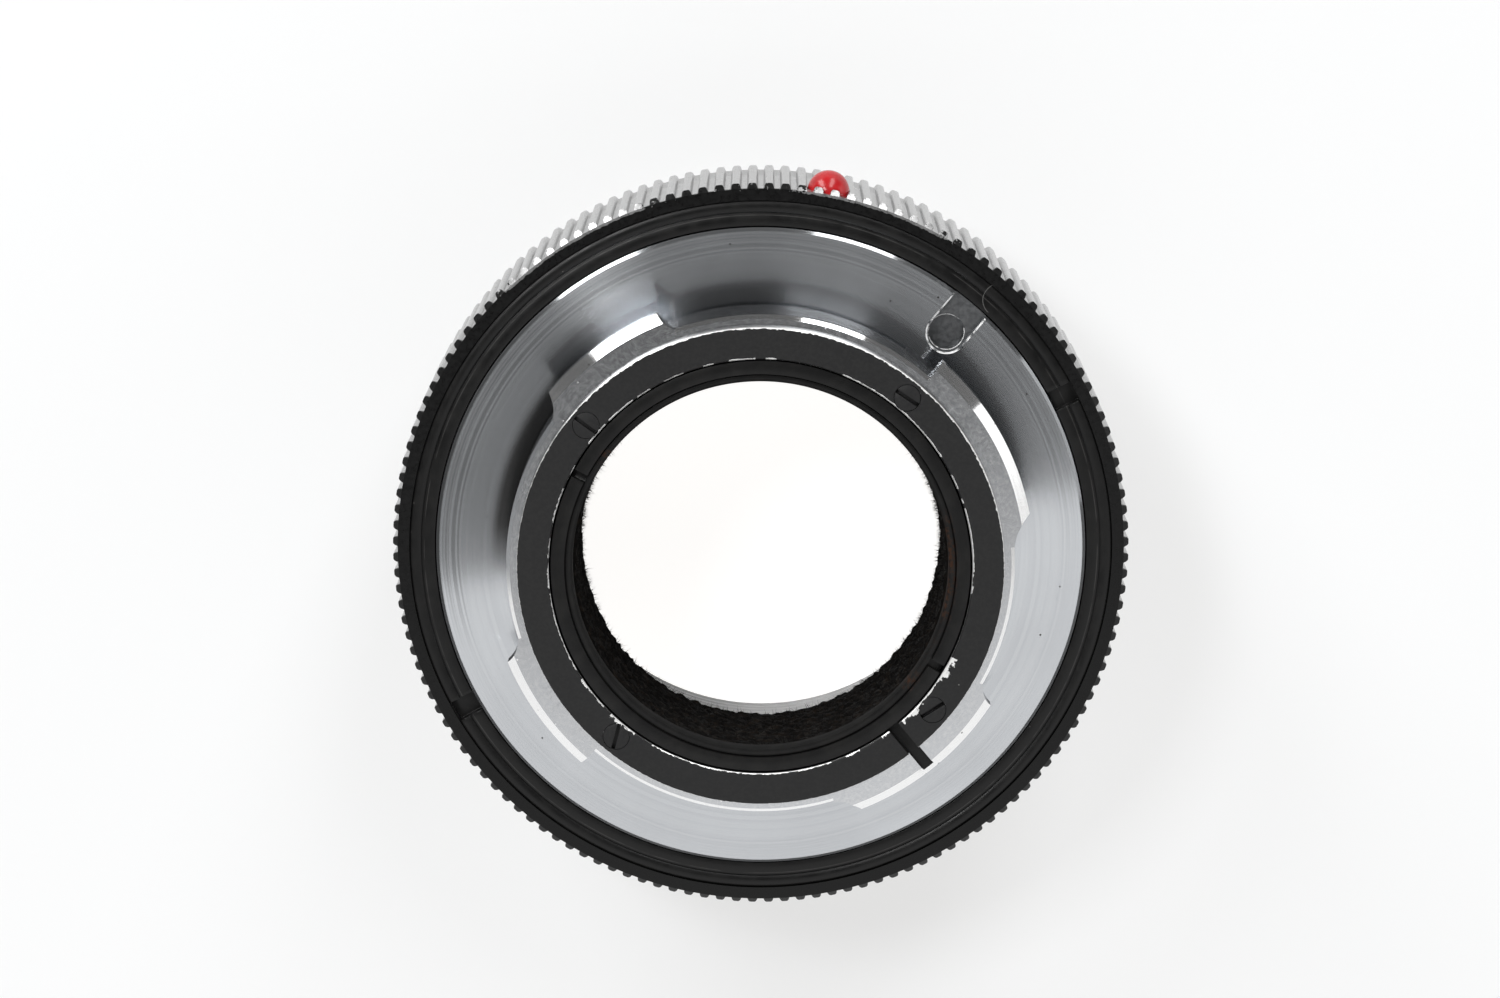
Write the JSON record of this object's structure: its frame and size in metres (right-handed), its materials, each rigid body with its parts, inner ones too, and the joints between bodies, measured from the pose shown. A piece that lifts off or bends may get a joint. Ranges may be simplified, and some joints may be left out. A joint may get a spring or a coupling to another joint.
{
  "type": "lens mount adapter",
  "caption": "Knurled chrome adapter ring with a lugged bayonet on its camera side, a screw thread on its lens side and a flocked clear bore.",
  "frame": {"origin": "on the optical axis at the lens-side end face, which the part stands on", "axes": "+Z along the optical axis towards the camera side, +Y towards the top of the flange near the red index bead, +X to the right seen from the camera side"},
  "size_m": [0.0602, 0.061, 0.0306],
  "materials": {
    "satin_alloy": "satin",
    "bright_chrome": "fine turned, polished",
    "satin_chrome": "satin",
    "black_enamel": "semi-matt, chipped",
    "black_anodised": "semi-gloss",
    "pin_steel": "ground",
    "red_bead": "glossy",
    "black_flock": "velvet"
  },
  "bodies": {
    "root": {"adapter_body": "satin_alloy", "bayonet_mount": "bright_chrome", "bayonet_screws": "black_enamel", "grip_ring": "satin_chrome", "grip_retaining_ring": "black_anodised", "grip_key_pin": "pin_steel", "index_bead": "red_bead", "baffle_tube": "black_anodised", "flock_lining": "black_flock", "baffle_retaining_ring": "black_anodised"}
  },
  "joints": []
}
